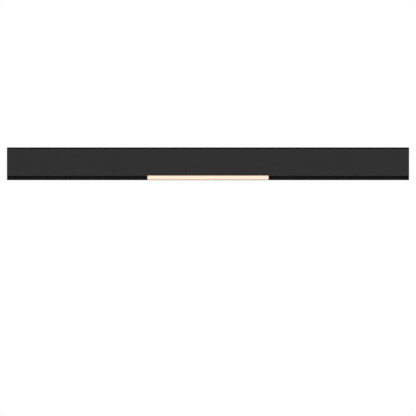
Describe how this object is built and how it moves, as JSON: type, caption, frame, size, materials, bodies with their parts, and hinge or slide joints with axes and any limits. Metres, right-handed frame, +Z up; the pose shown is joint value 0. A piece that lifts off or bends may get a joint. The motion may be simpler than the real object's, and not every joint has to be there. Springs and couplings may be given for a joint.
{
  "type": "track light bar",
  "caption": "Long black ceiling light bar: a slotted track housing on a mounting rail, with a warm white linear light module that slides along the slot.",
  "frame": {"origin": "middle of the ceiling face, on top of the mounting rail", "axes": "+X along the bar, to the right as seen from the front; +Y from the front face to the back; +Z up, out of the ceiling face"},
  "size_m": [1, 0.034, 0.075],
  "materials": {
    "black_coat": "satin powder coat",
    "rail_black": "matt powder coat",
    "bare_aluminium": "mill finish",
    "black_plastic": "fine texture",
    "grey_plastic": "fine texture",
    "white_plastic": "smooth",
    "opal": "satin opal, lit from inside",
    "copper": "drawn copper",
    "bronze": "spring bronze",
    "zinc_steel": "zinc plated",
    "black_steel": "black oxide",
    "nickel": "nickel plated",
    "rubber": "matt",
    "white_board": "white solder mask",
    "green_board": "green solder mask",
    "diode": "phosphor",
    "black_parts": "moulded",
    "brown_wire": "wire insulation",
    "red_wire": "wire insulation",
    "earth_wire": "wire insulation"
  },
  "bodies": {
    "track": {"mounting_rail": "rail_black", "cable_grommet": "rubber", "terminal_block": "white_plastic", "terminal_fixing_screw": "zinc_steel", "terminal_screws": "zinc_steel", "track_housing": "black_coat", "end_cap_left": "black_coat", "end_cap_right": "black_coat", "end_cap_screws": "black_steel", "driver_case": "white_plastic", "driver_lid": "white_plastic", "driver_board": "green_board", "driver_components": "black_parts", "driver_pads": "rubber", "mains_leads": "brown_wire", "earth_lead": "earth_wire", "earth_lug": "zinc_steel", "earth_screw": "zinc_steel", "feed_leads": "red_wire", "feed_connector": "black_plastic", "feed_contacts": "bronze", "feed_screws": "zinc_steel", "lead_bush": "rubber", "carrier_front": "grey_plastic", "carrier_back": "grey_plastic", "supply_conductors": "copper", "data_conductors": "copper", "keeper_strip": "zinc_steel"},
    "light_module": {"module_housing": "bare_aluminium", "diffuser": "opal", "module_end_left": "black_plastic", "module_end_right": "black_plastic", "module_end_screws": "black_steel", "led_board": "white_board", "led_packages": "diode", "led_board_screws": "zinc_steel", "converter_board": "green_board", "converter_components": "black_parts", "adapter_case": "black_plastic", "adapter_lid": "black_plastic", "adapter_screws": "zinc_steel", "magnets": "nickel", "supply_contacts": "bronze", "data_contacts": "bronze", "contact_leads": "red_wire", "led_leads": "red_wire"}
  },
  "joints": [
    {"name": "module_slide", "type": "slide", "parent": "track", "child": "light_module", "axis": [1, 0, 0], "range_m": [-0.342, 0.342]}
  ]
}
